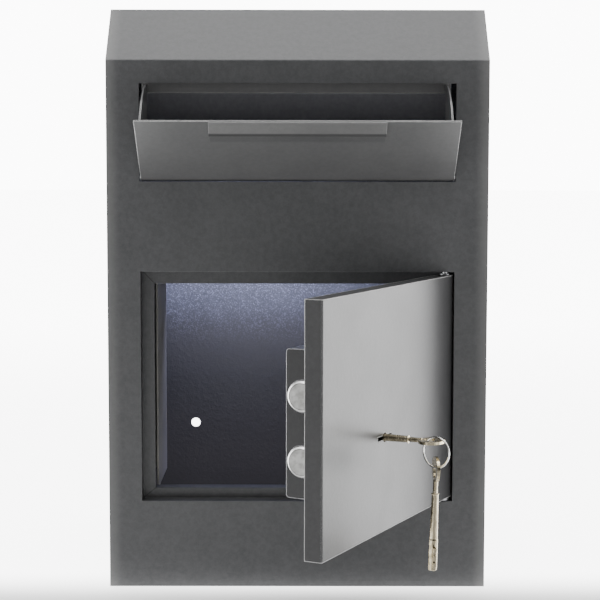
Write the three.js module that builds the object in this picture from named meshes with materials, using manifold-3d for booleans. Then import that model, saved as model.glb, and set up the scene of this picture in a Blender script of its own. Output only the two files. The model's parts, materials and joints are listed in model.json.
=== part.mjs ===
// A drop safe: a folded steel cabinet with a tilting deposit hopper above a key-locked door.
// Millimetres. X runs to the right, Y from the front to the back, Z up.
// The origin is the middle of the underside. The door and the hopper stand open, as when in use.

import * as THREE from 'three';
import { mergeVertices } from 'three/addons/utils/BufferGeometryUtils.js';
import Module from 'manifold-3d';

const wasm = await Module();
wasm.setup();

// Cabinet
const cabinetWidth = 350;
const cabinetDepth = 300;
const frontHeight = 488;
const slopeRise = 49.7;
const slopeRun = 48.5;
const sheet = 2;              // cabinet sheet thickness
const outerBend = 3;          // outer radius of the cabinet's folds
const seam = 0.3;             // gap left where two pieces are welded or laid together
const anchorRadius = 5;
const anchorInset = 62.2;     // from each side of the cabinet
const backAnchorLow = 105;
const backAnchorHigh = 430;
const baseAnchorFront = 60;
const baseAnchorRear = 240;

// Door opening, stop frame and bolt pocket
const openingMargin = 30.6;   // from each side of the cabinet
const openingBottom = 80.9;
const openingTop = 295.1;
const frameSheet = 1.5;
const stopGap = 0.4;          // from the closed door's back to the stop flange
const stopLeft = 11.4;        // how far the flange reaches into the opening on each side
const stopRight = 11;
const stopTop = 12;
const stopBottom = 9.3;
const lipDepth = 13.5;
const linerFront = 46;        // depth behind the front face
const linerRear = 148;
const linerInset = 11.7;      // from the opening's left edge
const linerBend = 3;
const linerMargin = 3;

// Door
const doorThickness = 15.5;
const doorSheet = 2;
const doorBackSheet = 1.5;
const doorGapTop = 3.1;
const doorGapBottom = 4.1;
const doorGapLock = 2.5;      // at the free edge
const doorEdgeRadius = 1.5;
const pinInset = 7.6;         // hinge pin axis from the opening's right edge
const pinSetback = 7.25;      // hinge pin axis behind the door's face
const noseReach = 6.8;        // the door's rounded heel, past the pin axis
const heelWrap = 4;           // how far the skin wraps round behind the pin axis
const doorOpenAngle = 63.6;

// Door hinge
const pinRadius = 3;
const pinClearance = 0.1;
const pinBelowGap = 12;       // how far a pin reaches into the door
const bracketPlate = 4;
const bracketHalfWidth = 10;
const bracketReach = 16;      // from the front face
const pinEndProud = 2;
const bushWall = 1.35;
const bushLength = 8;
const bushFlange = 1;
const bushFlangeWidth = 1.2;
const washerRadius = 6;

// Hopper
const slotMargin = 30.4;      // from each side of the cabinet
const slotBottom = 377.9;
const slotTop = 467.2;
const slotGap = 0.3;          // under the rolled edge
const slotTopGap = 0.7;
const slotSideGap = 1.2;
const flapSheet = 1.5;
const curlRadius = 3.6;
const rodRadius = 1.5;
const curlWrapAngle = 40;
const cheekInsetLeft = 4.6;    // outer face from the flap's side edge
const cheekInsetRight = 7.1;
const cheekGap = 0.8;         // arc below the flap's top edge
const cheekHubRadius = 5.5;
const hopperOpenAngle = 51.8;
const stopBarInsetLeft = 2.8;  // from the slot's end
const stopBarInsetRight = 5.3;
const stopBarDrop = 8.9;      // below the slot's top edge
const stopBarOverlap = 4.8;   // behind the front sheet above the slot
const lipSheet = 1;
const lipHalfWidth = 78.2;
const lipFlat = 2.8;
const lipFall = 9;
const lipFlare = 3;
const lipHem = 2.4;           // turned down along the lower edge
const lipBend = 2.5;
const hopperBracketReach = 14;
const hopperBracketFoot = 14;
const hopperBracketDrop = 8;
const hopperBracketRise = 14;
const stopTabGap = 0.6;       // from the left cheek to the tab behind the closed flap
const stopTabLow = 6;
const stopTabHigh = 14;
const rodProud = 2;

// Anti-fishing baffle
const baffleSetback = 106;
const baffleFoot = 22;
const baffleDrop = 120;
const baffleMargin = 25;      // from each side of the cabinet
const baffleToothPitch = 15;
const baffleToothDepth = 9;

// Lock box, measured from the door's free edge, along the door
const lockInset = 27;
const lockPastLevers = 5.9;   // from the levers' hub end to the box's hinge end
const lockBottom = 128;
const lockTop = 249;
const lockRear = 45;          // from the door's face
const lockWall = 1.5;
const lockCorner = 3;

// Bolts and carriage
const boltRadius = 12.5;
const boltDepth = 30.5;       // bolt axis from the door's face
const boltLowZ = 158.3;
const boltHighZ = 211.2;
const boltProud = 3;
const boltChamfer = 1.6;
const boltClearance = 0.4;
const boltTail = 43.7;        // from the lock box's end to the bolt's tail, inside
const boltThrow = 22;
const boltBoreDepth = 15;
const barThickness = 3.5;
const barMargin = 8.3;
const barFront = 19;
const barRear = 41.5;
const driveThickness = 3;
const driveBottom = 141.7;
const driveTop = 185;
const driveEnd = 1.6;         // from the lock box's inner end wall
const windowClearance = 0.9;
const stumpSize = 5;
const stumpFromKey = 9.1;     // along the door, past the key axis
const stumpRise = 23.5;       // above the key axis
const stumpRear = 40.5;
const tabRise = 28.5;
const tabFromKey = 5;
const guideRadius = 3;
const guideDrop = 18.5;       // below the key axis
const guideFromKey = 5.4;     // along the door, towards the hinge
const guideRear = 24;
const screwShank = 3;
const screwHead = 5;
const screwHeadHeight = 4;
const screwLength = 14;
const slotClearance = 0.4;

// Lock plate, posts, cover and levers
const lockPlateThickness = 2;
const lockPlateGap = 0.3;
const lockPlateMargin = 2;
const lockPlateLength = 76;
const postRadius = 4;
const postInset = 7.8;
const postInsetEnd = 69.8;    // second row of posts, from the lock box's hinge end
const smallScrewRadius = 1.5;
const smallScrewHead = 3.8;
const smallScrewHeadHeight = 2;
const smallScrewLength = 9;
const smallScrewSlot = 0.9;
const coverFront = 41.9;
const coverThickness = 1.2;
const coverMargin = 3;
const coverBottom = 150;
const coverTop = 225;
const leverCount = 5;
const leverFront = 24;
const leverThickness = 2;
const leverPitch = 3.3;
const leverPivotFromKey = 30.4;
const leverPivotRise = 22.5;
const leverPostRadius = 3;
const leverHub = 8;
const leverReach = 36;        // past the key axis
const leverBottomRise = 12.9;
const leverTopRise = 32.5;
const leverLiftAngle = 4;
const leverSlotWall = 1.4;

// Key, measured outwards from the door's face
const keyFromBoxEnd = 95.7;   // from the lock box's end, along the door
const keyZ = 165.5;
const keyTip = 43.1;          // inside the door
const keyBarrelRadius = 3.7;
const keyBarrelLength = 25.6;
const keyShankRadius = 3.4;    // where it leaves the barrel
const keyShankTop = 2.75;     // radius at its outer end
const keyShankEnd = 20.8;
const keyCollarRadius = 3.3;
const keyCollarLength = 1.5;
const keyNeckRadius = 2;
const keyBowFrom = 32;
const keyBowEnd = 52.8;
const keyBowHalfWidth = 13.5;
const keyBowSquareness = 2.2; // 2 would be an ellipse
const keyBowThickness = 2.4;
const keyHoleRadius = 5.2;
const keyHoleFromEnd = 12.6;
const keyBitReach = 11.5;
const keyBitThickness = 2.4;
const keyBitFromTip = 2.2;
const keyBitLength = 18.4;
const keyPilotRadius = 1.2;
const keyPilotDepth = 12;
const keyholeRadius = 4.2;
const keyholeSlotReach = 15;  // the slot's half length, level with the key's bits
const keyholeSlotWidth = 3.6;
const ringRadius = 12.8;
const ringWire = 0.8;
const ringFromDoor = 47;
const ringBelowKey = 8.8;
const ringAside = 1.4;        // towards the door's free edge
const ringTwist = -13;
const spareTwist = 44;
const spareLean = 1.6;
const hangGap = 0.9;

// Fine values shared by the cuts and the round pieces
const overrun = 3;
const roundSides = 28;
const wireSides = 10;
const crossShare = 0.6;       // of the screw head's radius
const bendSteps = 4;
const keyBitStepShares = [0.92, 0.62, 0.8, 0.5, 0.72, 1];
const keyBitOtherShares = [0.7, 0.95, 0.55, 0.84, 0.6, 1];

// Places worked out from the sizes above
const cabinetHeight = frontHeight + slopeRise;
const halfWidth = cabinetWidth / 2;
const sideInner = halfWidth - sheet - seam;
const openingHalf = halfWidth - openingMargin;
const pocketHalf = halfWidth - slotMargin;
const baffleHalf = halfWidth - baffleMargin;
const behindFront = sheet + seam;
const stopFace = doorThickness + stopGap;
const stopRear = stopFace + frameSheet;
const doorTop = openingTop - doorGapTop;
const doorBottom = openingBottom + doorGapBottom;
const pinX = openingHalf - pinInset;
const doorWidth = pinX + openingHalf - doorGapLock;
const doorFrontY = -pinSetback;
const doorBackY = doorThickness - pinSetback;
const flapHalf = pocketHalf - slotSideGap;
const rodZ = slotBottom + slotGap + curlRadius;
const flapTop = slotTop - slotTopGap - rodZ;
const cheekLeft = cheekInsetLeft - flapHalf;
const cheekRight = flapHalf - cheekInsetRight;
const cheekRadius = flapTop - cheekGap;
const lockFreeX = -(doorWidth - lockInset);
const keyX = lockFreeX + keyFromBoxEnd;
const lockHingeX = keyX + leverPivotFromKey + leverHub + lockPastLevers;
const boltTailX = lockFreeX + boltTail;
const stopBarLeft = stopBarInsetLeft - pocketHalf;
const stopBarRight = pocketHalf - stopBarInsetRight;

// Materials
function paint(name, color, roughness, metalness) {
  return new THREE.MeshStandardMaterial({ name, color, roughness, metalness });
}
const bodyPaint = paint('body_paint', 0x4a4b4d, 0.55, 0.15);
const doorPaint = paint('door_paint', 0x55565a, 0.5, 0.15);
const hopperPaint = paint('hopper_paint', 0x505154, 0.5, 0.15);
const boxPaint = paint('lock_box_paint', 0x2c2d30, 0.5, 0.15);
const zincSteel = paint('zinc_steel', 0x9a9c9e, 0.35, 0.9);
const boltSteel = paint('bolt_steel', 0xc9cac8, 0.25, 0.95);
const leverBrass = paint('lever_brass', 0xb08d4a, 0.35, 0.9);
const keyNickel = paint('key_nickel', 0xb9b2a2, 0.25, 0.95);
const springWire = paint('ring_wire', 0xd8d6cf, 0.18, 1);

// Solids
function toSolid(geometry) {
  geometry.deleteAttribute('normal');
  geometry.deleteAttribute('uv');
  const merged = mergeVertices(geometry);
  const vertProperties = new Float32Array(merged.attributes.position.array);
  const triVerts = new Uint32Array(merged.index.array);
  return new wasm.Manifold(new wasm.Mesh({ numProp: 3, vertProperties, triVerts }));
}

function block(x0, x1, y0, y1, z0, z1) {
  const geometry = new THREE.BoxGeometry(x1 - x0, y1 - y0, z1 - z0);
  geometry.translate((x0 + x1) / 2, (y0 + y1) / 2, (z0 + z1) / 2);
  return toSolid(geometry);
}

// Turns a solid drawn along its own Z so that this axis runs along X, Y or Z
const axisMatrices = {
  x: new THREE.Matrix4().makeBasis(
    new THREE.Vector3(0, 1, 0), new THREE.Vector3(0, 0, 1), new THREE.Vector3(1, 0, 0)),
  y: new THREE.Matrix4().makeBasis(
    new THREE.Vector3(1, 0, 0), new THREE.Vector3(0, 0, 1), new THREE.Vector3(0, -1, 0)),
  z: new THREE.Matrix4(),
};

// A flat outline pushed from one place to another: (y, z) along X, (x, z) along Y, (x, y) along Z
function prism(shape, axis, from, to, curveSegments = roundSides / 4) {
  const depth = to - from;
  const geometry = new THREE.ExtrudeGeometry(shape, { depth, bevelEnabled: false, curveSegments });
  geometry.translate(0, 0, axis === 'y' ? -to : from);
  geometry.applyMatrix4(axisMatrices[axis]);
  return toSolid(geometry);
}

function rod(axis, radius, from, to, a, b) {
  const shape = new THREE.Shape();
  for (let i = 0; i < roundSides; i += 1) {
    const angle = (2 * Math.PI * i) / roundSides;
    const u = a + radius * Math.cos(angle);
    const v = b + radius * Math.sin(angle);
    if (i === 0) shape.moveTo(u, v);
    else shape.lineTo(u, v);
  }
  shape.closePath();
  return prism(shape, axis, from, to);
}

function polygon(points) {
  const shape = new THREE.Shape();
  points.forEach(([u, v], i) => (i === 0 ? shape.moveTo(u, v) : shape.lineTo(u, v)));
  shape.closePath();
  return shape;
}

// The corners of a path rounded off with short straight steps
function rounded(points, radius) {
  const result = [points[0]];
  for (let i = 1; i < points.length - 1; i += 1) {
    const corner = new THREE.Vector2(...points[i]);
    const before = new THREE.Vector2(...points[i - 1]).sub(corner).normalize();
    const after = new THREE.Vector2(...points[i + 1]).sub(corner).normalize();
    const half = Math.acos(THREE.MathUtils.clamp(before.dot(after), -1, 1)) / 2;
    const run = radius / Math.tan(half);
    const centre = before.clone().add(after).normalize()
      .multiplyScalar(radius / Math.sin(half)).add(corner);
    const start = corner.clone().addScaledVector(before, run).sub(centre);
    const end = corner.clone().addScaledVector(after, run).sub(centre);
    const sweep = Math.atan2(start.cross(end), start.dot(end));
    for (let step = 0; step <= bendSteps; step += 1) {
      const spoke = start.clone().rotateAround(new THREE.Vector2(), (sweep * step) / bendSteps);
      result.push([centre.x + spoke.x, centre.y + spoke.y]);
    }
  }
  result.push(points[points.length - 1]);
  return result;
}

// The path moved sideways, to its left where the distance is positive
function offsetPath(points, distance) {
  const normals = points.slice(1).map(([u, v], i) => {
    const along = new THREE.Vector2(u - points[i][0], v - points[i][1]).normalize();
    return new THREE.Vector2(-along.y, along.x);
  });
  return points.map(([u, v], i) => {
    const one = normals[Math.max(i - 1, 0)];
    const two = normals[Math.min(i, normals.length - 1)];
    const mitre = one.clone().add(two);
    mitre.multiplyScalar((2 * distance) / mitre.lengthSq());
    return [u + mitre.x, v + mitre.y];
  });
}

// The section of a bent sheet whose one face follows the path
function bentSheet(path, thickness) {
  return polygon([...path, ...offsetPath(path, thickness).reverse()]);
}

function union(...solids) {
  return solids.reduce((sum, solid) => sum.add(solid));
}

function cut(solid, ...cutters) {
  return cutters.reduce((rest, cutter) => rest.subtract(cutter), solid);
}

function piece(name, solid, material, parent) {
  const result = solid.getMesh();
  const geometry = new THREE.BufferGeometry();
  geometry.setAttribute('position', new THREE.BufferAttribute(new Float32Array(result.vertProperties), 3));
  geometry.setIndex(new THREE.BufferAttribute(new Uint32Array(result.triVerts), 1));
  geometry.computeVertexNormals();
  const mesh = new THREE.Mesh(geometry, material);
  mesh.name = name;
  parent.add(mesh);
  return mesh;
}

function groupAt(parent, x, y, z) {
  const group = new THREE.Group();
  group.position.set(x, y, z);
  parent.add(group);
  return group;
}

const safe = new THREE.Group();
const cabinet = groupAt(safe, 0, -cabinetDepth / 2, 0);

// Cabinet panels
function buildCabinet() {
  const outline = [[0, 0], [0, frontHeight], [slopeRun, cabinetHeight], [cabinetDepth, cabinetHeight]];
  const wrap = prism(bentSheet(rounded(outline, outerBend), -sheet), 'x', -halfWidth, halfWidth);
  const slotCut = block(-pocketHalf, pocketHalf, -overrun, sheet + overrun, slotBottom, slotTop);
  const doorCut = block(-openingHalf, openingHalf, -overrun, sheet + overrun, openingBottom, openingTop);
  piece('front_wrap', cut(wrap, slotCut, doorCut), bodyPaint, cabinet);

  const inner = offsetPath(outline, -behindFront);
  const rearY = cabinetDepth - behindFront;
  const side = polygon([inner[0], inner[1], inner[2], [rearY, inner[3][1]], [rearY, 0]]);
  piece('side_panel_left', prism(side, 'x', -halfWidth, -halfWidth + sheet), bodyPaint, cabinet);
  piece('side_panel_right', prism(side, 'x', halfWidth - sheet, halfWidth), bodyPaint, cabinet);

  const backTop = cabinetHeight - behindFront;
  const back = block(-halfWidth, halfWidth, cabinetDepth - sheet, cabinetDepth, 0, backTop);
  const base = block(-sideInner, sideInner, behindFront, rearY, 0, sheet);
  const backHoles = [];
  const baseHoles = [];
  for (const side of [-1, 1]) {
    const x = side * (halfWidth - anchorInset);
    for (const z of [backAnchorLow, backAnchorHigh]) {
      backHoles.push(rod('y', anchorRadius, cabinetDepth - sheet - overrun, cabinetDepth + overrun, x, z));
    }
    for (const y of [baseAnchorFront, baseAnchorRear]) {
      baseHoles.push(rod('z', anchorRadius, -overrun, sheet + overrun, x, y));
    }
  }
  piece('back_panel', cut(back, ...backHoles), bodyPaint, cabinet);
  piece('base_plate', cut(base, ...baseHoles), bodyPaint, cabinet);
}

// Reveal walls around the door opening, the flange that the door shuts against, and its lips
function buildStopFrame() {
  const left = -openingHalf + stopLeft;
  const right = openingHalf - stopRight;
  const bottom = openingBottom + stopBottom;
  const top = openingTop - stopTop;
  const outer = openingHalf + frameSheet;
  const walls = block(-outer, outer, behindFront, stopRear,
    openingBottom - frameSheet, openingTop + frameSheet);
  const recess = block(-openingHalf, openingHalf, -overrun, stopFace, openingBottom, openingTop);
  const windowCut = block(left, right, -overrun, stopRear + overrun, bottom, top);
  const lipEnd = stopRear + lipDepth;
  const lips = [
    block(left, right, stopFace, lipEnd, top, top + frameSheet),
    block(left, right, stopFace, lipEnd, bottom - frameSheet, bottom),
    block(right, right + frameSheet, stopFace, lipEnd, bottom - frameSheet, top + frameSheet),
  ];
  const hole = pinRadius + 2 * pinClearance;
  const pinHoles = rod('z', hole, openingBottom - frameSheet - overrun, openingTop + frameSheet + overrun,
    pinX, pinSetback);
  piece('door_stop_frame', union(cut(walls, recess, windowCut, pinHoles), ...lips), bodyPaint, cabinet);
}

// A bent sheet behind the lock-side flange, which closes the pocket that the bolts shoot into
function buildBoltPocketLiner() {
  const face = -openingHalf + linerInset;
  const path = rounded([[face, linerFront], [face, linerRear], [-sideInner, linerRear]], linerBend);
  const liner = prism(bentSheet(path, frameSheet), 'z',
    openingBottom + linerMargin, openingTop - linerMargin);
  piece('bolt_pocket_liner', liner, bodyPaint, cabinet);
}

// Hinge brackets, pins and the washer that carries the door
function buildHinge() {
  const clear = pinRadius + pinClearance;
  const upperZ = openingTop + frameSheet + seam;
  const lowerZ = openingBottom - frameSheet - seam - bracketPlate;
  const ends = [['upper', upperZ], ['lower', lowerZ]];
  for (const [name, z] of ends) {
    const plate = block(pinX - bracketHalfWidth, pinX + bracketHalfWidth, behindFront, bracketReach,
      z, z + bracketPlate);
    const hole = rod('z', clear, z - overrun, z + bracketPlate + overrun, pinX, pinSetback);
    piece(`hinge_bracket_${name}`, cut(plate, hole), bodyPaint, cabinet);
  }
  const upperPin = rod('z', pinRadius, doorTop - pinBelowGap, upperZ + bracketPlate + pinEndProud,
    pinX, pinSetback);
  const lowerPin = rod('z', pinRadius, lowerZ - pinEndProud, doorBottom + pinBelowGap, pinX, pinSetback);
  piece('hinge_pin_upper', upperPin, zincSteel, cabinet);
  piece('hinge_pin_lower', lowerPin, zincSteel, cabinet);

  const washerTop = doorBottom - seam - bushFlange - seam;
  const washer = rod('z', washerRadius, openingBottom + seam, washerTop, pinX, pinSetback);
  const bore = rod('z', clear, openingBottom - overrun, washerTop + overrun, pinX, pinSetback);
  piece('hinge_thrust_washer', cut(washer, bore), zincSteel, cabinet);
}

// Angles that hold the hopper's rod, each with a tab that the closed flap lands on
function buildHopperBrackets() {
  for (const [name, side] of [['left', -1], ['right', 1]]) {
    const span = (near, far) => (side > 0 ? [near, far] : [-far, -near]);
    const webFrom = pocketHalf + flapSheet;
    const webTo = webFrom + flapSheet;
    const low = rodZ - hopperBracketDrop;
    const high = rodZ + hopperBracketRise;
    const footRear = behindFront + flapSheet;
    const web = block(...span(webFrom, webTo), behindFront, hopperBracketReach, low, high);
    const foot = block(...span(webFrom, webFrom + hopperBracketFoot), behindFront, footRear, low, high);
    const tab = block(...span(stopTabGap - cheekLeft, webTo), behindFront, footRear,
      rodZ + stopTabLow, rodZ + stopTabHigh);
    const hole = rod('x', rodRadius + pinClearance, ...span(webFrom - overrun, webTo + overrun),
      curlRadius, rodZ);
    piece(`hopper_bracket_${name}`, cut(union(web, foot, tab), hole), bodyPaint, cabinet);
  }
}

// A plate with a toothed lower edge, hung from the roof behind the hopper
function buildBaffle() {
  const roof = cabinetHeight - behindFront;
  const path = rounded([
    [baffleSetback + baffleFoot, roof],
    [baffleSetback, roof],
    [baffleSetback, roof - baffleDrop],
  ], linerBend);
  const plate = prism(bentSheet(path, frameSheet), 'x', -baffleHalf, baffleHalf);
  const count = Math.floor((2 * baffleHalf) / baffleToothPitch);
  const start = (-count * baffleToothPitch) / 2;
  const edge = roof - baffleDrop;
  const notches = [];
  for (let i = 0; i < count; i += 1) {
    const x = start + i * baffleToothPitch;
    const notch = polygon([
      [x, edge - overrun],
      [x + baffleToothPitch, edge - overrun],
      [x + baffleToothPitch / 2, edge + baffleToothDepth],
    ]);
    notches.push(prism(notch, 'y', baffleSetback - overrun, baffleSetback + frameSheet + overrun));
  }
  piece('anti_fishing_baffle', cut(plate, union(...notches)), bodyPaint, cabinet);
}

// Hopper: everything here turns about the rod, drawn shut and then tilted open
const hopper = groupAt(cabinet, 0, curlRadius, rodZ);
hopper.rotation.x = THREE.MathUtils.degToRad(hopperOpenAngle);
const hopperAsOpen = groupAt(hopper, 0, 0, 0);
hopperAsOpen.rotation.x = -hopper.rotation.x;

function buildHopper() {
  const curl = [];
  const wrap = 180 + curlWrapAngle;
  const steps = 4 * bendSteps;
  for (let i = 0; i <= steps; i += 1) {
    const angle = THREE.MathUtils.degToRad(180 + (wrap * i) / steps);
    curl.push([curlRadius * Math.cos(angle), curlRadius * Math.sin(angle)]);
  }
  const flapPath = [[-curlRadius, flapTop], ...curl];
  const flap = prism(bentSheet(flapPath, flapSheet), 'x', -flapHalf, flapHalf);
  piece('hopper_flap', flap, hopperPaint, hopper);
  const rodEnd = pocketHalf + 2 * flapSheet + rodProud;
  piece('hopper_pivot_rod', rod('x', rodRadius, -rodEnd, rodEnd, 0, 0), zincSteel, hopper);

  const barFace = behindFront - curlRadius;
  const tilt = THREE.MathUtils.degToRad(hopperOpenAngle);
  const cheekEdge = barFace - seam;
  const frontEdge = -curlRadius + flapSheet + seam;
  const toShut = (radius) => {
    const z = Math.sqrt(radius ** 2 - cheekEdge ** 2);
    return [
      cheekEdge * Math.cos(tilt) + z * Math.sin(tilt),
      -cheekEdge * Math.sin(tilt) + z * Math.cos(tilt),
    ];
  };
  const cheekPoints = [[frontEdge, cheekHubRadius]];
  const arcStart = Math.acos(frontEdge / cheekRadius);
  const rearTop = toShut(cheekRadius);
  const arcEnd = Math.atan2(rearTop[1], rearTop[0]);
  for (let i = 0; i <= roundSides; i += 1) {
    const angle = arcStart + ((arcEnd - arcStart) * i) / roundSides;
    cheekPoints.push([cheekRadius * Math.cos(angle), cheekRadius * Math.sin(angle)]);
  }
  cheekPoints.push(toShut(cheekHubRadius));
  const cheekShape = polygon(cheekPoints.reverse());
  const leftCheek = prism(cheekShape, 'x', cheekLeft, cheekLeft + flapSheet);
  const rightCheek = prism(cheekShape, 'x', cheekRight - flapSheet, cheekRight);
  piece('hopper_cheek_left', leftCheek, hopperPaint, hopper);
  piece('hopper_cheek_right', rightCheek, hopperPaint, hopper);

  const barBottom = slotTop - stopBarDrop - rodZ;
  const barTop = slotTop + stopBarOverlap - rodZ;
  const bar = block(stopBarLeft, stopBarRight, barFace, barFace + flapSheet, barBottom, barTop);
  piece('hopper_stop_bar', bar, hopperPaint, hopperAsOpen);

  const lipFace = -curlRadius - seam - lipSheet;
  const hemY = lipFace - lipFlare;
  const hemZ = flapTop - lipFlat - lipFall;
  const lipPath = rounded([
    [lipFace, flapTop],
    [lipFace, flapTop - lipFlat],
    [hemY, hemZ],
    [hemY - lipHem * Math.sin(tilt), hemZ - lipHem * Math.cos(tilt)],
  ], lipBend);
  piece('hopper_pull_lip', prism(bentSheet(lipPath, lipSheet), 'x', -lipHalfWidth, lipHalfWidth),
    hopperPaint, hopper);
}

// Door: drawn shut about its pin and then swung open
const door = groupAt(cabinet, pinX, pinSetback, 0);
door.rotation.z = THREE.MathUtils.degToRad(doorOpenAngle);

// The door's outline seen from above, drawn in from its outer faces by a margin
function doorOutline(margin, rear) {
  const left = -doorWidth + margin;
  const front = doorFrontY + margin;
  const nose = noseReach - margin;
  const points = [...rounded([[left, rear], [left, front], [0, front]], doorEdgeRadius)];
  const heel = Math.min(rear, doorBackY) - (margin > 0 ? margin : 0);
  const steps = roundSides / 2;
  for (let i = 1; i <= steps; i += 1) {
    const angle = -Math.PI / 2 + (Math.PI * i) / steps;
    const reach = angle < 0 ? -front : heel;
    points.push([nose * Math.cos(angle), reach * Math.sin(angle)]);
  }
  if (rear > heel) points.push([-heelWrap, heel], [-heelWrap, rear]);
  return points;
}

// The keyhole as a cutter along the door's thickness
function keyholeCut(from, to, margin) {
  const round = rod('y', keyholeRadius + margin, from, to, keyX, keyZ);
  const half = keyholeSlotWidth / 2 + margin;
  const reach = keyholeSlotReach + margin;
  return union(round, block(keyX - reach, keyX + reach, from, to, keyZ - half, keyZ + half));
}

function buildDoor() {
  const slab = prism(polygon(doorOutline(0, doorBackY)), 'z', doorBottom, doorTop);
  const hollow = prism(polygon(doorOutline(doorSheet, doorBackY + overrun)), 'z',
    doorBottom + doorSheet, doorTop - doorSheet);
  const bushRadius = pinRadius + pinClearance + bushWall;
  const bushHoles = rod('z', bushRadius + pinClearance, doorBottom - overrun, doorTop + overrun, 0, 0);
  const keyhole = keyholeCut(doorFrontY - overrun, doorFrontY + doorSheet + overrun, 0);
  piece('door_skin', cut(slab, hollow, bushHoles, keyhole), doorPaint, door);

  const margin = doorSheet + seam;
  const backPlate = block(-doorWidth + margin, -heelWrap - seam, doorBackY - doorBackSheet, doorBackY,
    doorBottom + margin, doorTop - margin);
  const backKeyhole = keyholeCut(doorBackY - doorBackSheet - overrun, doorBackY + overrun, slotClearance);
  piece('door_back_plate', cut(backPlate, backKeyhole), doorPaint, door);

  const flangeRadius = bushRadius + bushFlangeWidth;
  const bore = rod('z', pinRadius + pinClearance, doorBottom - 2 * overrun, doorTop + 2 * overrun, 0, 0);
  const upper = union(rod('z', bushRadius, doorTop - bushLength, doorTop + seam + bushFlange, 0, 0),
    rod('z', flangeRadius, doorTop + seam, doorTop + seam + bushFlange, 0, 0));
  const lower = union(rod('z', bushRadius, doorBottom - seam - bushFlange, doorBottom + bushLength, 0, 0),
    rod('z', flangeRadius, doorBottom - seam - bushFlange, doorBottom - seam, 0, 0));
  piece('hinge_bush_upper', cut(upper, bore), zincSteel, door);
  piece('hinge_bush_lower', cut(lower, bore), zincSteel, door);
}

// Lock box, plates, posts and screws. Depths count from the door's face, as depthY gives them
function depthY(depth) {
  return doorFrontY + depth;
}

function postPlaces() {
  const places = [];
  for (const x of [lockHingeX - postInset, lockHingeX - postInsetEnd]) {
    for (const z of [lockBottom + postInset, lockTop - postInset]) {
      places.push([x, z]);
    }
  }
  return places;
}

// A pan-head screw with a cross recess, its head towards the back of the door
function smallScrew(x, z) {
  const seat = depthY(lockRear) + seam;
  const headRear = seat + smallScrewHeadHeight;
  const head = rod('y', smallScrewHead, seat, headRear, x, z);
  const shank = rod('y', smallScrewRadius, seat - smallScrewLength, seat, x, z);
  const slotRear = headRear + overrun;
  const slotFrontY = headRear - smallScrewHeadHeight / 2;
  const arm = smallScrewHead * crossShare;
  const half = smallScrewSlot / 2;
  const cross = union(block(x - arm, x + arm, slotFrontY, slotRear, z - half, z + half),
    block(x - half, x + half, slotFrontY, slotRear, z - arm, z + arm));
  return cut(union(head, shank), cross);
}

function buildLock() {
  const back = doorThickness + lockPlateGap;
  const frontY = depthY(back);
  const rearY = depthY(lockRear);
  const outerPath = rounded([
    [frontY, lockBottom],
    [rearY, lockBottom],
    [rearY, lockTop],
    [frontY, lockTop],
  ], lockCorner);
  const innerPath = rounded([
    [frontY - overrun, lockBottom + lockWall],
    [rearY - lockWall, lockBottom + lockWall],
    [rearY - lockWall, lockTop - lockWall],
    [frontY - overrun, lockTop - lockWall],
  ], lockCorner - lockWall);
  const shell = prism(polygon(outerPath), 'x', lockFreeX, lockHingeX);
  const room = prism(polygon(innerPath), 'x', lockFreeX + lockWall, lockHingeX - lockWall);
  const boltHoles = [boltLowZ, boltHighZ].map((z) => rod('x', boltRadius + boltClearance,
    lockFreeX - overrun, lockFreeX + lockWall + overrun, depthY(boltDepth), z));
  const screwHoles = postPlaces().map(([x, z]) => rod('y', smallScrewRadius + slotClearance,
    rearY - lockWall - overrun, rearY + overrun, x, z));
  piece('lock_box', cut(shell, room, ...boltHoles, ...screwHoles), boxPaint, door);

  const plateRear = back + lockPlateThickness;
  const plateFrom = lockHingeX - lockPlateMargin - lockPlateLength;
  const plate = block(plateFrom, lockHingeX - lockPlateMargin, frontY, depthY(plateRear),
    lockBottom + lockPlateMargin, lockTop - lockPlateMargin);
  piece('lock_plate', cut(plate, keyholeCut(frontY - overrun, depthY(plateRear) + overrun, slotClearance)),
    zincSteel, door);

  const postFront = depthY(plateRear) + seam;
  const postRear = rearY - lockWall - seam;
  postPlaces().forEach(([x, z], i) => {
    const post = rod('y', postRadius, postFront, postRear, x, z);
    const bore = rod('y', smallScrewRadius + slotClearance,
      postRear - smallScrewLength, postRear + overrun, x, z);
    piece(`lock_post_${i + 1}`, cut(post, bore), zincSteel, door);
    piece(`lock_box_screw_${i + 1}`, smallScrew(x, z), zincSteel, door);
  });

  const pivotX = keyX + leverPivotFromKey;
  const pivotZ = keyZ + leverPivotRise;
  const coverY = depthY(coverFront);
  piece('lever_post', rod('y', leverPostRadius, postFront, coverY - seam, pivotX, pivotZ), zincSteel, door);
  const guideX = keyX + guideFromKey;
  const guideZ = keyZ - guideDrop;
  piece('carriage_guide_pin', rod('y', guideRadius, postFront, depthY(guideRear), guideX, guideZ),
    zincSteel, door);
  const cover = block(plateFrom + coverMargin, lockHingeX - coverMargin, coverY, coverY + coverThickness,
    coverBottom, coverTop);
  const noseHole = rod('y', keyBarrelRadius + slotClearance,
    coverY - overrun, coverY + coverThickness + overrun, keyX, keyZ);
  piece('lock_cover', cut(cover, noseHole), zincSteel, door);
}

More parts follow.
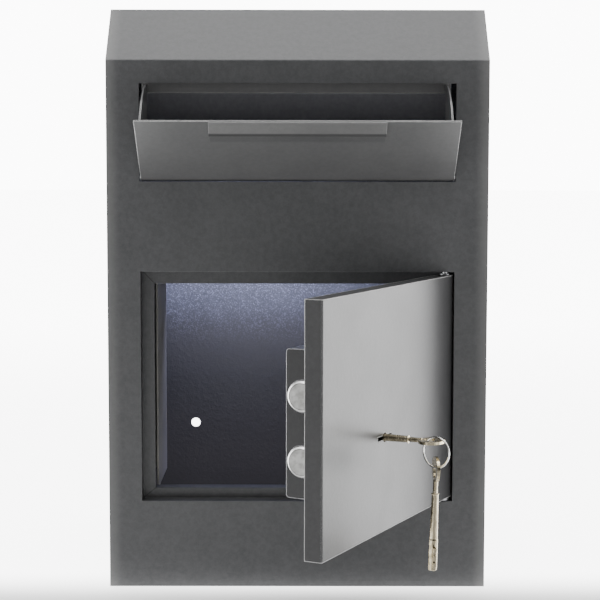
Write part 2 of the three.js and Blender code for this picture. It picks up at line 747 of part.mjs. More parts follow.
// Bolt carriage: the bar behind the bolts' tails, the drive plate round the key, and the stump
function buildCarriage() {
  const barFrom = boltTailX + seam;
  const barTo = barFrom + barThickness;
  const bar = block(barFrom, barTo, depthY(barFront), depthY(barRear),
    boltLowZ - barMargin, boltHighZ + barMargin);
  const driveY = [depthY(barFront), depthY(barFront + driveThickness)];
  const driveHingeX = lockHingeX - lockWall - driveEnd;
  const drive = block(barFrom, driveHingeX, ...driveY, driveBottom, driveTop);
  const stumpX = keyX - stumpFromKey;
  const tab = block(barFrom, keyX - tabFromKey, ...driveY, driveTop - overrun, keyZ + tabRise);
  const stumpZ = keyZ + stumpRise;
  const half = stumpSize / 2;
  const stump = block(stumpX - half, stumpX + half, driveY[0], depthY(stumpRear),
    stumpZ - half, stumpZ + half);

  const sweep = keyBitReach + windowClearance;
  const through = [driveY[0] - overrun, driveY[1] + overrun];
  const keyWindow = union(
    rod('y', sweep, ...through, keyX, keyZ),
    rod('y', sweep, ...through, keyX + boltThrow, keyZ),
    block(keyX, keyX + boltThrow, ...through, keyZ - sweep, keyZ + sweep));
  const guideX = keyX + guideFromKey;
  const guideZ = keyZ - guideDrop;
  const reach = guideRadius + slotClearance;
  const guideSlot = union(rod('y', reach, ...through, guideX, guideZ),
    rod('y', reach, ...through, guideX + boltThrow, guideZ),
    block(guideX, guideX + boltThrow, ...through, guideZ - reach, guideZ + reach));
  const screwHoles = [boltLowZ, boltHighZ].map((z) => rod('x', screwShank + slotClearance,
    barFrom - overrun, barTo + overrun, depthY(boltDepth), z));
  piece('bolt_carriage', cut(union(bar, drive, tab, stump), keyWindow, guideSlot, ...screwHoles),
    zincSteel, door);

  const tipX = lockFreeX - boltProud;
  for (const [name, z] of [['lower', boltLowZ], ['upper', boltHighZ]]) {
    const profile = [
      new THREE.Vector2(0, 0),
      new THREE.Vector2(boltRadius - boltChamfer, 0),
      new THREE.Vector2(boltRadius, boltChamfer),
      new THREE.Vector2(boltRadius, boltTailX - tipX),
      new THREE.Vector2(0, boltTailX - tipX),
    ];
    const turned = new THREE.LatheGeometry(profile, 2 * roundSides);
    turned.rotateZ(-Math.PI / 2);
    turned.translate(tipX, depthY(boltDepth), z);
    const bore = rod('x', screwShank + slotClearance, boltTailX - boltBoreDepth, boltTailX + overrun,
      depthY(boltDepth), z);
    piece(`bolt_${name}`, cut(toSolid(turned), bore), boltSteel, door);
    const headX = barTo + seam;
    const screw = union(rod('x', screwShank, headX - screwLength, headX, depthY(boltDepth), z),
      rod('x', screwHead, headX, headX + screwHeadHeight, depthY(boltDepth), z));
    piece(`bolt_screw_${name}`, screw, zincSteel, door);
  }
}

// Levers: a stack of gated plates on one post, above the key
function buildLevers() {
  const pivotX = keyX + leverPivotFromKey;
  const pivotZ = keyZ + leverPivotRise;
  const endX = keyX - leverReach;
  const bottom = keyZ + leverBottomRise;
  const top = keyZ + leverTopRise;
  const outline = polygon(rounded([
    [pivotX, bottom],
    [pivotX + leverHub, bottom],
    [pivotX + leverHub, top],
    [endX, top],
    [endX, bottom],
    [pivotX, bottom],
  ], leverThickness));
  const lift = Math.sin(THREE.MathUtils.degToRad(leverLiftAngle)) * (pivotX - endX);
  const stumpZ = keyZ + stumpRise;
  const half = stumpSize / 2;
  const gateFrom = endX + leverSlotWall;
  const gateTo = keyX - stumpFromKey + half + slotClearance + windowClearance;
  for (let i = 0; i < leverCount; i += 1) {
    const y = depthY(leverFront + i * leverPitch);
    const through = [y - overrun, y + leverThickness + overrun];
    const gate = block(gateFrom, gateTo, ...through, stumpZ - half - lift - slotClearance / 2,
      stumpZ + half + slotClearance);
    const hole = rod('y', leverPostRadius + pinClearance, ...through, pivotX, pivotZ);
    piece(`lever_${i + 1}`, cut(prism(outline, 'y', y, y + leverThickness), gate, hole), leverBrass, door);
  }
}

// A double-bitted key drawn along Z: the door's face at zero, the bow above it, the bits below
function keySolid() {
  const profile = [
    [0, -keyTip],
    [keyBarrelRadius - keyPilotRadius / 2, -keyTip],
    [keyBarrelRadius, -keyTip + keyPilotRadius / 2],
    [keyBarrelRadius, -keyTip + keyBarrelLength],
    [keyShankRadius, -keyTip + keyBarrelLength + keyPilotRadius],
    [keyShankTop, keyShankEnd],
    [keyCollarRadius, keyShankEnd + keyCollarLength / 3],
    [keyCollarRadius, keyShankEnd + (2 * keyCollarLength) / 3],
    [keyNeckRadius, keyShankEnd + keyCollarLength],
    [keyNeckRadius, keyBowFrom + keyCollarLength],
    [0, keyBowFrom + keyCollarLength],
  ].map(([r, z]) => new THREE.Vector2(r, z));
  const turned = new THREE.LatheGeometry(profile, roundSides);
  turned.rotateX(Math.PI / 2);
  const shank = toSolid(turned);
  const bowHalf = (keyBowEnd - keyBowFrom) / 2;
  const bowPoints = [];
  for (let i = 0; i < 2 * roundSides; i += 1) {
    const angle = (Math.PI * i) / roundSides;
    const swell = (value) => Math.sign(value) * Math.abs(value) ** (2 / keyBowSquareness);
    const across = keyBowHalfWidth * swell(Math.cos(angle));
    bowPoints.push([across, keyBowEnd - bowHalf + bowHalf * swell(Math.sin(angle))]);
  }
  const half = keyBowThickness / 2;
  const bow = prism(polygon(bowPoints), 'y', -half, half);
  const ringHole = rod('y', keyHoleRadius, -half - overrun, half + overrun, 0, keyBowEnd - keyHoleFromEnd);

  const bitHalf = keyBitThickness / 2;
  const bitBase = -keyTip + keyBitFromTip;
  const flags = [[1, keyBitStepShares], [-1, keyBitOtherShares]].map(([side, shares]) => {
    const points = [[0, bitBase]];
    shares.forEach((share, i) => {
      const low = bitBase + (keyBitLength * i) / shares.length;
      const high = bitBase + (keyBitLength * (i + 1)) / shares.length;
      const reach = side * (keyBarrelRadius + (keyBitReach - keyBarrelRadius) * share);
      points.push([reach, low], [reach, high]);
    });
    points.push([0, bitBase + keyBitLength]);
    return prism(polygon(side > 0 ? points : points.reverse()), 'y', -bitHalf, bitHalf);
  });
  const pilot = rod('z', keyPilotRadius, -keyTip - overrun, -keyTip + keyPilotDepth, 0, 0);
  return cut(union(shank, bow, ...flags), ringHole, pilot);
}

function buildKeys() {
  const keyGroup = groupAt(door, keyX, doorFrontY, keyZ);
  const inLock = piece('key', keySolid(), keyNickel, keyGroup);
  inLock.rotation.x = Math.PI / 2;

  const ringGroup = groupAt(keyGroup, -ringAside, -ringFromDoor, -ringBelowKey);
  ringGroup.rotation.z = THREE.MathUtils.degToRad(ringTwist);
  const torus = new THREE.TorusGeometry(ringRadius, ringWire, wireSides, 2 * roundSides);
  torus.rotateY(Math.PI / 2);
  piece('key_ring', toSolid(torus), springWire, ringGroup);

  const holeToWire = keyHoleRadius - ringWire - hangGap;
  const spareGroup = groupAt(ringGroup, 0, 0, -ringRadius - holeToWire);
  const lean = THREE.MathUtils.degToRad(spareLean);
  const twist = THREE.MathUtils.degToRad(spareTwist);
  spareGroup.rotation.set(lean, 0, twist, 'ZYX');
  const spare = piece('spare_key', keySolid(), keyNickel, spareGroup);
  spare.position.z = -(keyBowEnd - keyHoleFromEnd);
}

buildCabinet();
buildStopFrame();
buildBoltPocketLiner();
buildHinge();
buildHopperBrackets();
buildBaffle();
buildHopper();
buildDoor();
buildLock();
buildCarriage();
buildLevers();
buildKeys();

export default safe;
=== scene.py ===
import json
import math

import bpy
from mathutils import Matrix, Vector


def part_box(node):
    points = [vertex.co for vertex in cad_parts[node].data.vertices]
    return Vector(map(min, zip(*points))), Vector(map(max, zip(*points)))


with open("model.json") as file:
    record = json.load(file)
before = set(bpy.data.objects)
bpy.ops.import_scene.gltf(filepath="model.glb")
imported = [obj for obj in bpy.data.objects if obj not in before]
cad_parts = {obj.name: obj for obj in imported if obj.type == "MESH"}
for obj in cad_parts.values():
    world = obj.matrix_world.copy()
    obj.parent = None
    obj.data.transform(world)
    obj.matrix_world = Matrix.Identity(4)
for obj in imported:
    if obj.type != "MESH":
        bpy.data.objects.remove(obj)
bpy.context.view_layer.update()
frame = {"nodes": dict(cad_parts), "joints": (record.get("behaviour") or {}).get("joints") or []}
nodes = frame["nodes"]
print("frame loaded:", len(nodes), "nodes")


# Shader maths: a socket that adds, subtracts and multiplies like a number
class Value:
    def __init__(self, shader, socket):
        self.shader = shader
        self.socket = socket

    def __add__(self, other):
        return self.shader.maths("ADD", self, other)

    def __sub__(self, other):
        return self.shader.maths("SUBTRACT", self, other)

    def __rsub__(self, other):
        return self.shader.maths("SUBTRACT", other, self)

    def __mul__(self, other):
        return self.shader.maths("MULTIPLY", self, other)

    def __pow__(self, other):
        return self.shader.maths("POWER", self, other)

    __radd__ = __add__
    __rmul__ = __mul__

    def ramp(self, low, high, start=0.0, end=1.0):
        # low..high becomes start..end, smoothly and held at both ends
        node = self.shader.add("ShaderNodeMapRange", {"interpolation_type": "SMOOTHSTEP"},
                               {0: self, 1: low, 2: high, 3: start, 4: end})
        return self.shader.value(node)


# The node tree of a new material or world
class Shader:
    def __init__(self, owner, coordinates):
        owner.use_nodes = True
        self.owner = owner
        self.tree = owner.node_tree
        self.tree.nodes.clear()
        self.place = self.value(self.add("ShaderNodeTexCoord"), coordinates)

    def add(self, kind, settings=None, sockets=None):
        node = self.tree.nodes.new(kind)
        for key, setting in (settings or {}).items():
            setattr(node, key, setting)
        for key, entry in (sockets or {}).items():
            target = node.inputs[key]
            if isinstance(entry, Value):
                self.tree.links.new(entry.socket, target)
            else:
                target.default_value = entry
        return node

    def value(self, node, output=0):
        return Value(self, node.outputs[output])

    def maths(self, operation, first, second):
        return self.value(self.add("ShaderNodeMath", {"operation": operation}, {0: first, 1: second}))

    def vector(self, operation, first, second, output="Vector"):
        node = self.add("ShaderNodeVectorMath", {"operation": operation}, {0: first, 1: second})
        return self.value(node, output)

    def mix(self, first, second, factor):
        node = self.add("ShaderNodeMix", {"data_type": "RGBA"}, {0: factor, 6: first, 7: second})
        return self.value(node, 2)

    def noise(self, size, detail=3.0, roughness=0.5, place=None):
        # size is the width of one blotch, in metres
        return self.value(self.add("ShaderNodeTexNoise", None, {
            "Vector": place or self.place, "Scale": 1.0 / size, "Detail": detail, "Roughness": roughness}))

    def stretched(self, scale):
        # the place with each axis scaled, for brushing and streaks
        return self.vector("MULTIPLY", self.place, scale)

    def axis(self, letter):
        return self.value(self.add("ShaderNodeSeparateXYZ", None, {0: self.place}), letter)

    def distance(self, value):
        return self.value(self.add("ShaderNodeMath", {"operation": "ABSOLUTE"}, {0: value}))

    def softEdge(self, radius):
        return self.value(self.add("ShaderNodeBevel", {"samples": 6}, {"Radius": radius}))

    def edgeMask(self, soft, low, high):
        # 1 where the softened normal leaves the flat one, so along the edges
        flat = self.value(self.add("ShaderNodeNewGeometry"), "Normal")
        return (1 - self.vector("DOT_PRODUCT", soft, flat, "Value")).ramp(low, high)

    def bump(self, height, distance, strength, normal):
        return self.value(self.add("ShaderNodeBump", None, {
            "Height": height, "Distance": distance, "Strength": strength, "Normal": normal}))

    def finish(self, sockets):
        surface = self.value(self.add("ShaderNodeBsdfPrincipled", None, sockets))
        self.add("ShaderNodeOutputMaterial", None, {"Surface": surface})
        return self.owner


def newMaterial(name):
    return Shader(bpy.data.materials.new(name), "Object")


def rgb(red, green, blue):
    return (red, green, blue, 1.0)


noiseSpan = (0.3, 0.7)   # most of a noise's values lie between these


# Powder coat: a fine even grain, faint cloudiness, and light patches along the edges that are partly wear
# and partly painted highlight
coatPattern = {
    "cloudSize": 0.03, "cloudShare": 0.3, "mottleSize": 0.0045, "mottleShare": 0.4,
    "grainRoughness": 0.6, "grainShare": 0.3, "grainHeight": 0.7,
    "speckPerGrain": 2.7, "speckSpan": (0.35, 0.75), "speckHeight": 0.3,
    "patchSize": 0.012, "patchSoftness": 0.25, "edgeSpan": (0.01, 0.14),
    "glossBelow": 0.01, "glossAbove": 0.02,
}


def powderCoat(name, look, extra=None):
    # extra works on the colour last: it takes the shader and the colour, and gives the new one
    pattern = coatPattern
    coat = newMaterial(name)
    soft = coat.softEdge(look["edgeRadius"])
    clouds = coat.noise(pattern["cloudSize"])
    grain = coat.noise(look["grainSize"], detail=2.0, roughness=pattern["grainRoughness"])
    speck = coat.noise(look["grainSize"] * pattern["speckPerGrain"], detail=1.0).ramp(*pattern["speckSpan"])
    mottle = coat.noise(pattern["mottleSize"], detail=2.0).ramp(*noiseSpan)
    tone = clouds.ramp(*noiseSpan) * pattern["cloudShare"] + mottle * pattern["mottleShare"]
    tone = tone + grain.ramp(*noiseSpan) * pattern["grainShare"]
    base = coat.mix(look["dark"], look["light"], tone)
    # Light edges: partly worn paint, partly a painted highlight where the edges catch the lamps
    edgePatchTo = look["edgePatchFrom"] + pattern["patchSoftness"]
    patchy = coat.noise(pattern["patchSize"]).ramp(look["edgePatchFrom"], edgePatchTo)
    worn = coat.edgeMask(soft, *pattern["edgeSpan"]) * patchy
    base = coat.mix(base, look["edge"], worn * look["edgeWear"])
    if extra:
        base = extra(coat, base)
    height = grain * pattern["grainHeight"] + speck * pattern["speckHeight"]
    glossiest = look["gloss"] - pattern["glossBelow"]
    dullest = look["gloss"] + pattern["glossAbove"]
    return coat.finish({
        "Base Color": base,
        "Roughness": clouds.ramp(*noiseSpan, glossiest, dullest),
        "Normal": coat.bump(height, look["grainDepth"], look["grainStrength"], soft),
        "Specular IOR Level": look["shine"],
    })


# The edge colour is partly wear and partly painted highlight; it is near white on the door, hopper and lock
# box
cabinetCoat = {
    "dark": rgb(0.037, 0.038, 0.040), "light": rgb(0.060, 0.061, 0.063), "edge": rgb(0.16, 0.16, 0.165),
    "edgeRadius": 0.0008, "edgeWear": 0.5, "edgePatchFrom": 0.35, "gloss": 0.42, "shine": 0.5,
    "grainSize": 0.0016, "grainDepth": 0.0003, "grainStrength": 0.35,
}
# Painted light: the baffle is painted much lighter and bluer than the cabinet's coat, for the cold light
# inside the safe
baffleCoat = dict(cabinetCoat, dark=rgb(0.30, 0.30, 0.34), light=rgb(0.38, 0.38, 0.42))
insideCoat = dict(cabinetCoat, grainDepth=0.0005, grainStrength=0.7, gloss=0.38, shine=0.6)
# Painted light: the liner is painted much lighter than the cabinet's coat, for the light that falls on it
# inside the safe
linerCoat = dict(cabinetCoat, dark=rgb(0.28, 0.27, 0.25), light=rgb(0.32, 0.31, 0.29), gloss=0.6,
                 shine=0.15)
doorCoat = dict(cabinetCoat, dark=rgb(0.036, 0.036, 0.037), light=rgb(0.047, 0.047, 0.048), gloss=0.34,
                grainSize=0.0014, grainStrength=0.2, edge=rgb(0.8, 0.8, 0.79), edgeWear=0.9, edgePatchFrom=0.1,
                edgeRadius=0.0014, shine=0.25)
hopperCoat = dict(cabinetCoat, dark=rgb(0.056, 0.056, 0.057), light=rgb(0.074, 0.074, 0.074), gloss=0.36,
                  grainSize=0.0014, grainStrength=0.2, edge=rgb(0.8, 0.8, 0.79), edgeWear=0.9,
                  edgePatchFrom=0.15)
# Painted light: the pull lip is painted lighter than the rest of the hopper, for the brighter light on its
# face
lipCoat = dict(hopperCoat, dark=rgb(0.084, 0.084, 0.084), light=rgb(0.104, 0.104, 0.103), edgeWear=0.25)
boxCoat = dict(cabinetCoat, dark=rgb(0.018, 0.018, 0.019), light=rgb(0.026, 0.026, 0.027), gloss=0.3,
               grainSize=0.0014, grainStrength=0.2, edge=rgb(0.8, 0.8, 0.82), edgeWear=0.9, edgePatchFrom=0.1,
               edgeRadius=0.0012, shine=0.4)


# Painted highlight: the front is painted lighter towards its two long folds, where they catch the side
# light.
# Places here and below are in metres, in the frame's own coordinates at rest
foldHighlightLook = {"colour": rgb(0.18, 0.18, 0.176), "share": 0.5, "from": 0.161, "to": 0.1765}


def paintedFoldHighlight(coat, base):
    fold = coat.distance(coat.axis("X")).ramp(foldHighlightLook["from"], foldHighlightLook["to"])
    return coat.mix(base, foldHighlightLook["colour"], fold * foldHighlightLook["share"])


# Mitred corners of the stop frame: (corner x, corner z, inner corner x, inner corner z)
mitreLook = {
    "corners": ((-0.1444, 0.0809, -0.1330, 0.0902), (-0.1444, 0.2951, -0.1330, 0.2831),
                (0.1444, 0.0809, 0.1334, 0.0902), (0.1444, 0.2951, 0.1334, 0.2831)),
    "lineFrom": 0.00025, "lineTo": 0.00075, "reachFrom": 0.02, "reachTo": 0.022,
    "colour": rgb(0.012, 0.012, 0.013), "share": 0.8,
}


def mitredCorners(coat, base):
    look = mitreLook
    for x, z, innerX, innerZ in look["corners"]:
        sideways = coat.axis("X") - x
        upward = coat.axis("Z") - z
        run = math.hypot(innerX - x, innerZ - z)
        aside = coat.distance(sideways * ((innerZ - z) / run) - upward * ((innerX - x) / run))
        near = coat.distance(sideways).ramp(look["reachFrom"], look["reachTo"], 1.0, 0.0)
        line = aside.ramp(look["lineFrom"], look["lineTo"], 1.0, 0.0)
        base = coat.mix(base, look["colour"], line * near * look["share"])
    return base


# Inside face of the back: a painted highlight on its grain near the top, painted shade below that, and
# lighter towards its foot
wallLook = {
    "faceFrom": 0.1485, "faceTo": 0.149,
    "middle": rgb(0.036, 0.033, 0.029), "middleShare": 0.8, "middleBelow": 0.25, "middleFull": 0.205,
    "low": rgb(0.106, 0.096, 0.078), "lowShare": 0.9, "lowBelow": 0.16, "lowFull": 0.05,
    "paintedGlint": rgb(0.2, 0.2, 0.24), "paintedGlintShare": 0.6, "paintedGlintSize": 0.0012, "paintedGlintSpan": (0.5, 0.75),
    "paintedGlintFrom": 0.18, "paintedGlintTo": 0.25,
}


def storeWall(coat, base):
    look = wallLook
    height = coat.axis("Z")
    inside = coat.axis("Y").ramp(look["faceFrom"], look["faceTo"], 1.0, 0.0)
    # Painted shade below the lit band near the top
    middle = height.ramp(look["middleFull"], look["middleBelow"], look["middleShare"], 0.0)
    low = height.ramp(look["lowFull"], look["lowBelow"], look["lowShare"], 0.0)
    specks = coat.noise(look["paintedGlintSize"], detail=1.0).ramp(*look["paintedGlintSpan"])
    # Painted highlight on grain specks, near the top only
    paintedGlint = specks * look["paintedGlintShare"] * height.ramp(look["paintedGlintFrom"], look["paintedGlintTo"])
    base = coat.mix(base, look["middle"], middle * inside)
    base = coat.mix(base, look["low"], low * inside)
    return coat.mix(base, look["paintedGlint"], paintedGlint * inside)


# Painted light: the liner is painted lighter towards its foot, where more light reaches it
footLightLook = {"colour": rgb(0.48, 0.46, 0.42), "below": 0.14, "full": 0.085}


def paintedFootLight(coat, base):
    footLight = coat.axis("Z").ramp(footLightLook["full"], footLightLook["below"], 1.0, 0.0)
    return coat.mix(base, footLightLook["colour"], footLight)


# Hopper: painted shade along the lip's turned-down edge, a painted shadow of the lip on the flap below it,
# and painted shade on the cheeks' arcs up in the slot
hopperShadeLook = {
    "shade": rgb(0.012, 0.012, 0.013), "hemFull": 0.4204, "hemBelow": 0.4212, "hemShare": 0.75,
    "bandFrom": 0.4125, "bandTo": 0.4150, "bandHalfFull": 0.077, "bandHalf": 0.078, "bandShare": 0.3,
    "arc": rgb(0.034, 0.034, 0.035), "arcFrom": 0.4475, "arcTo": 0.452,
}


def paintedHemShade(coat, base):
    hem = coat.axis("Z").ramp(hopperShadeLook["hemFull"], hopperShadeLook["hemBelow"], hopperShadeLook["hemShare"], 0.0)
    return coat.mix(base, hopperShadeLook["shade"], hem)


def paintedLipShadow(coat, base):
    across = coat.distance(coat.axis("X")).ramp(hopperShadeLook["bandHalfFull"], hopperShadeLook["bandHalf"], 1.0, 0.0)
    band = coat.axis("Z").ramp(hopperShadeLook["bandFrom"], hopperShadeLook["bandTo"]) * across
    return coat.mix(base, hopperShadeLook["shade"], band * hopperShadeLook["bandShare"])


def paintedArcShade(coat, base):
    return coat.mix(base, hopperShadeLook["arc"], coat.axis("Z").ramp(hopperShadeLook["arcFrom"], hopperShadeLook["arcTo"]))


# Bare metal: streaks along one direction, blotches in the polish
metalPattern = {
    "blotchShare": 0.4, "streakShare": 0.6, "streakSpan": (0.35, 0.65), "streakRoughness": 0.6,
    "polishSpan": (0.2, 0.8), "polishShare": 0.5,
}


def bareMetal(name, look, extra=None):
    # extra works on the colour, and takes the softened normal too
    pattern = metalPattern
    metal = newMaterial(name)
    soft = metal.softEdge(look["edgeRadius"])
    along = metal.stretched(look["streakStretch"])
    streak = metal.noise(look["streakSize"], roughness=pattern["streakRoughness"], place=along)
    blotch = metal.noise(look["blotchSize"]).ramp(*noiseSpan)
    tone = blotch * pattern["blotchShare"] + streak.ramp(*pattern["streakSpan"]) * pattern["streakShare"]
    base = metal.mix(look["dark"], look["light"], tone)
    if extra:
        base = extra(metal, base, soft)
    polish = blotch * pattern["polishShare"] + streak * pattern["polishShare"]
    return metal.finish({
        "Base Color": base,
        "Metallic": 1.0,
        "Roughness": polish.ramp(*pattern["polishSpan"], look["polished"], look["dull"]),
        "Normal": metal.bump(streak, look["streakDepth"], look["streakStrength"], soft),
    })


zincSteel = {
    "dark": rgb(0.40, 0.41, 0.42), "light": rgb(0.58, 0.59, 0.60), "edgeRadius": 0.0003,
    "streakSize": 0.004, "streakStretch": (1.0, 1.0, 6.0), "blotchSize": 0.006,
    "polished": 0.25, "dull": 0.42, "streakDepth": 0.0002, "streakStrength": 0.2,
}
leverBrass = dict(zincSteel, dark=rgb(0.48, 0.33, 0.12), light=rgb(0.66, 0.49, 0.22))
keyNickel = dict(zincSteel, dark=rgb(0.30, 0.25, 0.15), light=rgb(0.80, 0.71, 0.52), blotchSize=0.005,
                 streakSize=0.002, streakStretch=(2.0, 2.0, 0.4), streakStrength=0.06,
                 polished=0.16, dull=0.28)
ringWire = dict(zincSteel, dark=rgb(0.70, 0.69, 0.66), light=rgb(0.86, 0.85, 0.82),
                polished=0.08, dull=0.16)


# Painted shade: keys are painted darker where they face the front, standing in for the dark surroundings
# they reflect there
keyShadeLook = {"front": (0.0, -1.0, 0.0), "from": 0.88, "to": 0.97, "share": 0.85,
            "colour": rgb(0.13, 0.115, 0.085)}


def paintedFrontShade(metal, base, soft):
    facing = metal.vector("DOT_PRODUCT", soft, keyShadeLook["front"], "Value")
    # Mask of the painted shade on faces turned to the front
    dull = facing.ramp(keyShadeLook["from"], keyShadeLook["to"])
    return metal.mix(base, keyShadeLook["colour"], dull * keyShadeLook["share"])


# Turned steel: rings round the bolt's own axis, a groove near the edge of the end face, and a painted
# highlight on the rim
boltSteel = {
    "dark": rgb(0.27, 0.27, 0.26), "light": rgb(0.42, 0.42, 0.41), "blotchSize": 0.005,
    "polished": 0.28, "dull": 0.4, "edgeRadius": 0.0003, "face": 0.0109,
    "grooveColour": rgb(0.08, 0.08, 0.08), "grooveShare": 0.8,
    "grooveFrom": 0.0102, "grooveFull": 0.0105, "grooveEnd": 0.0107,
    "rimHighlight": rgb(0.95, 0.95, 0.94), "rimHighlightFull": 0.0112,
    "ringPitch": 0.0007, "ringDepth": 0.00006, "ringStrength": 0.4,
}


def turnedSteel(name, look, centre, direction):
    steel = newMaterial(name)
    soft = steel.softEdge(look["edgeRadius"])
    spoke = steel.vector("SUBTRACT", steel.place, centre)
    along = steel.vector("DOT_PRODUCT", spoke, direction, "Value")
    whole = steel.vector("DOT_PRODUCT", spoke, spoke, "Value")
    radius = (whole - along * along) ** 0.5
    turns = radius * (2 * math.pi / look["ringPitch"])
    rings = steel.value(steel.add("ShaderNodeMath", {"operation": "SINE"}, {0: turns}))
    blotch = steel.noise(look["blotchSize"]).ramp(*noiseSpan)
    groove = radius.ramp(look["grooveFrom"], look["grooveFull"])
    groove = groove * radius.ramp(look["grooveEnd"], look["face"], 1.0, 0.0)
    base = steel.mix(look["dark"], look["light"], blotch)
    base = steel.mix(base, look["grooveColour"], groove * look["grooveShare"])
    # Painted highlight on the rim of the end face
    base = steel.mix(base, look["rimHighlight"], radius.ramp(look["face"], look["rimHighlightFull"]))
    return steel.finish({
        "Base Color": base,
        "Metallic": 1.0,
        "Roughness": blotch.ramp(0.0, 1.0, look["polished"], look["dull"]),
        "Normal": steel.bump(rings, look["ringDepth"], look["ringStrength"], soft),
    })


def dress(material, *names):
    for name in names:
        slots = nodes[name].data.materials
        slots.clear()
        slots.append(material)


def startingWith(*starts):
    return [name for name in nodes if name.startswith(starts)]


def dressCabinet():
    dress(powderCoat("front_coat", cabinetCoat, paintedFoldHighlight), "front_wrap")
    dress(powderCoat("frame_coat", cabinetCoat, mitredCorners), "door_stop_frame")
    dress(powderCoat("cabinet_coat", cabinetCoat), *startingWith(
        "side_panel", "base_plate", "hinge_bracket", "hopper_bracket"))
    dress(powderCoat("inside_coat", insideCoat, storeWall), "back_panel")
    dress(powderCoat("baffle_coat", baffleCoat), "anti_fishing_baffle")
    dress(powderCoat("liner_coat", linerCoat, paintedFootLight), "bolt_pocket_liner")


def dressHopper():
    dress(powderCoat("hopper_coat", hopperCoat), "hopper_stop_bar")
    dress(powderCoat("flap_coat", hopperCoat, paintedLipShadow), "hopper_flap")
    dress(powderCoat("cheek_coat", hopperCoat, paintedArcShade), *startingWith("hopper_cheek"))
    dress(powderCoat("lip_coat", lipCoat, paintedHemShade), "hopper_pull_lip")


def dressDoorAndLock():
    dress(powderCoat("door_coat", doorCoat), "door_skin", "door_back_plate")
    dress(powderCoat("lock_box_coat", boxCoat), "lock_box")
    dress(bareMetal("lever_brass", leverBrass), *["lever_%d" % number for number in range(1, 6)])
    slide = next(joint for joint in frame["joints"] if joint["name"] == "bolt_slide")
    for name in ("bolt_lower", "bolt_upper"):
        low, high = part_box(name)
        dress(turnedSteel("turned_" + name, boltSteel, (low + high) / 2, slide["axis"]), name)


def dressSmallPieces():
    dress(bareMetal("zinc_steel", zincSteel), *startingWith(
        "hinge_pin", "hinge_bush", "hinge_thrust", "hopper_pivot", "lock_plate", "lock_cover", "lock_post",
        "lock_box_screw", "lever_post", "carriage_guide", "bolt_carriage", "bolt_screw"))
    dress(bareMetal("key_nickel", keyNickel, paintedFrontShade), "key", "spare_key")
    dress(bareMetal("ring_wire", ringWire), "key_ring")


dressCabinet()
dressHopper()
dressDoorAndLock()
dressSmallPieces()
print("materials ready")


# Floor: pale paper, lit from below beside and behind the safe, so that it runs into the background
floorLook = {
    "size": 30.0, "drop": 0.0002, "roughness": 0.8,
    "colour": rgb(0.90, 0.90, 0.90), "worn": rgb(0.87, 0.87, 0.87), "wornSize": 0.4, "wornShare": 0.3,
    "glow": 9.0, "frontShare": 0.03, "besideShare": 0.68, "besideSpan": (-0.205, -0.09),
    "behindShare": 0.27, "behindSpan": (0.4, 2.4),
}


def makeFloor():
    look = floorLook
    half = look["size"] / 2
    mesh = bpy.data.meshes.new("studio_floor")
    corners = [(-half, -half, 0), (half, -half, 0), (half, half, 0), (-half, half, 0)]
    mesh.from_pydata(corners, [], [(0, 1, 2, 3)])
    floor = bpy.data.objects.new("studio_floor", mesh)
    floor.location.z = -look["drop"]
    bpy.context.scene.collection.objects.link(floor)
    paper = newMaterial("floor_paper")
    beside = paper.axis("Y").ramp(*look["besideSpan"], look["frontShare"], look["besideShare"])
    behind = paper.axis("Y").ramp(*look["behindSpan"], 0.0, look["behindShare"])
    worn = paper.noise(look["wornSize"]).ramp(*noiseSpan)
    mesh.materials.append(paper.finish({
        "Base Color": paper.mix(look["colour"], look["worn"], worn * look["wornShare"]),
        "Roughness": look["roughness"],
        "Emission Color": paper.mix(rgb(0, 0, 0), rgb(1, 1, 1), beside + behind),
        "Emission Strength": look["glow"],
    }))


# Room: a white background, a bright ceiling and back wall, and less light from the camera's side.
# The spans are of the sight line's direction, which runs from -1 to 1 along each axis
roomLook = {
    "background": 14.0, "towardsCamera": 0.15, "around": 0.3, "aroundSpan": (-0.98, -0.77),
    "ceiling": 3.0, "ceilingSpan": (0.5, 1.0),
    "behind": 6.0, "behindSpan": (0.0, 0.5), "levelSpan": (0.2, 0.55),
}


def makeRoom():
    look = roomLook
    world = bpy.data.worlds.new("studio_room")
    bpy.context.scene.world = world
    room = Shader(world, "Generated")
    around = room.axis("Y").ramp(*look["aroundSpan"], look["towardsCamera"], look["around"])
    ceiling = room.axis("Z").ramp(*look["ceilingSpan"], 0.0, look["ceiling"])
    level = room.distance(room.axis("Z")).ramp(*look["levelSpan"], look["behind"], 0.0)
    behind = room.axis("Y").ramp(*look["behindSpan"]) * level
    seen = room.value(room.add("ShaderNodeLightPath"), "Is Camera Ray")
    strength = room.value(room.add("ShaderNodeMix", {"data_type": "FLOAT"}, {
        0: seen, 2: ceiling + behind + around, 3: look["background"]}))
    background = room.value(room.add("ShaderNodeBackground", None, {"Strength": strength}))
    room.add("ShaderNodeOutputWorld", None, {"Surface": background})


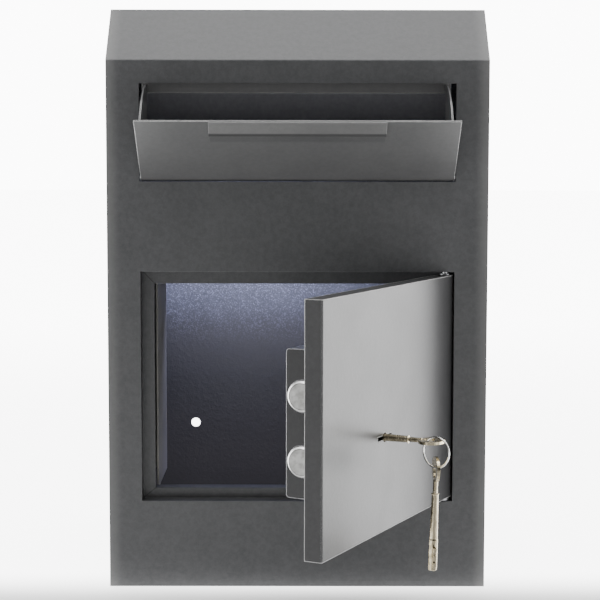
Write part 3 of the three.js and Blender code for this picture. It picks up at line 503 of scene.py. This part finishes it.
# Lamps: a large one above, a strip at each side, and a cold one inside the safe over the back wall
white = (1.0, 1.0, 1.0)
lamps = [
    {"name": "top_box", "at": (0.0, -0.15, 1.9), "aim": (0.0, -0.1, 0.3), "size": (1.6, 1.0),
     "watts": 14, "colour": white},
    {"name": "left_panel", "at": (-1.2, -0.35, 0.45), "aim": (0.0, -0.2, 0.3), "size": (0.35, 1.5),
     "watts": 6, "colour": white},
    {"name": "right_panel", "at": (1.2, -0.15, 0.45), "aim": (0.0, 0.0, 0.3), "size": (0.35, 1.5),
     "watts": 2.5, "colour": white},
    {"name": "store_glow", "at": (-0.05, 0.045, 0.315), "aim": (-0.05, 0.148, 0.215), "size": (0.22, 0.02),
     "watts": 1.15, "colour": (0.62, 0.66, 1.0)},
]


def makeLamp(lamp):
    data = bpy.data.lights.new(lamp["name"], "AREA")
    data.shape = "RECTANGLE"
    data.size, data.size_y = lamp["size"]
    data.energy = lamp["watts"]
    data.color = lamp["colour"]
    light = bpy.data.objects.new(lamp["name"], data)
    light.location = lamp["at"]
    aim = Vector(lamp["aim"]) - Vector(lamp["at"])
    light.rotation_euler = aim.to_track_quat("-Z", "Y").to_euler()
    light.visible_camera = False
    bpy.context.scene.collection.objects.link(light)


# Camera: found from the safe's own straight edges in the photograph
cameraLook = {"at": (0.0001, -1.64016, 0.4065), "pitch": 5.265, "yaw": 0.088, "roll": 0.078,
              "lens": 97.47, "sensor": 36.0}


def makeCamera():
    pitch, yaw, roll = (math.radians(cameraLook[key]) for key in ("pitch", "yaw", "roll"))
    forward = Vector((math.sin(yaw) * math.cos(pitch), math.cos(yaw) * math.cos(pitch), -math.sin(pitch)))
    level = Vector((math.cos(yaw), -math.sin(yaw), 0.0))
    upright = level.cross(forward)
    right = level * math.cos(roll) + upright * math.sin(roll)
    up = upright * math.cos(roll) - level * math.sin(roll)
    turn = Matrix((right, up, -forward)).transposed().to_4x4()
    data = bpy.data.cameras.new("studio_camera")
    data.lens = cameraLook["lens"]
    data.sensor_width = cameraLook["sensor"]
    data.sensor_fit = "HORIZONTAL"
    camera = bpy.data.objects.new("studio_camera", data)
    camera.matrix_world = Matrix.Translation(cameraLook["at"]) @ turn
    bpy.context.scene.collection.objects.link(camera)
    bpy.context.scene.camera = camera


makeFloor()
makeRoom()
for lamp in lamps:
    makeLamp(lamp)
makeCamera()
print("studio ready")
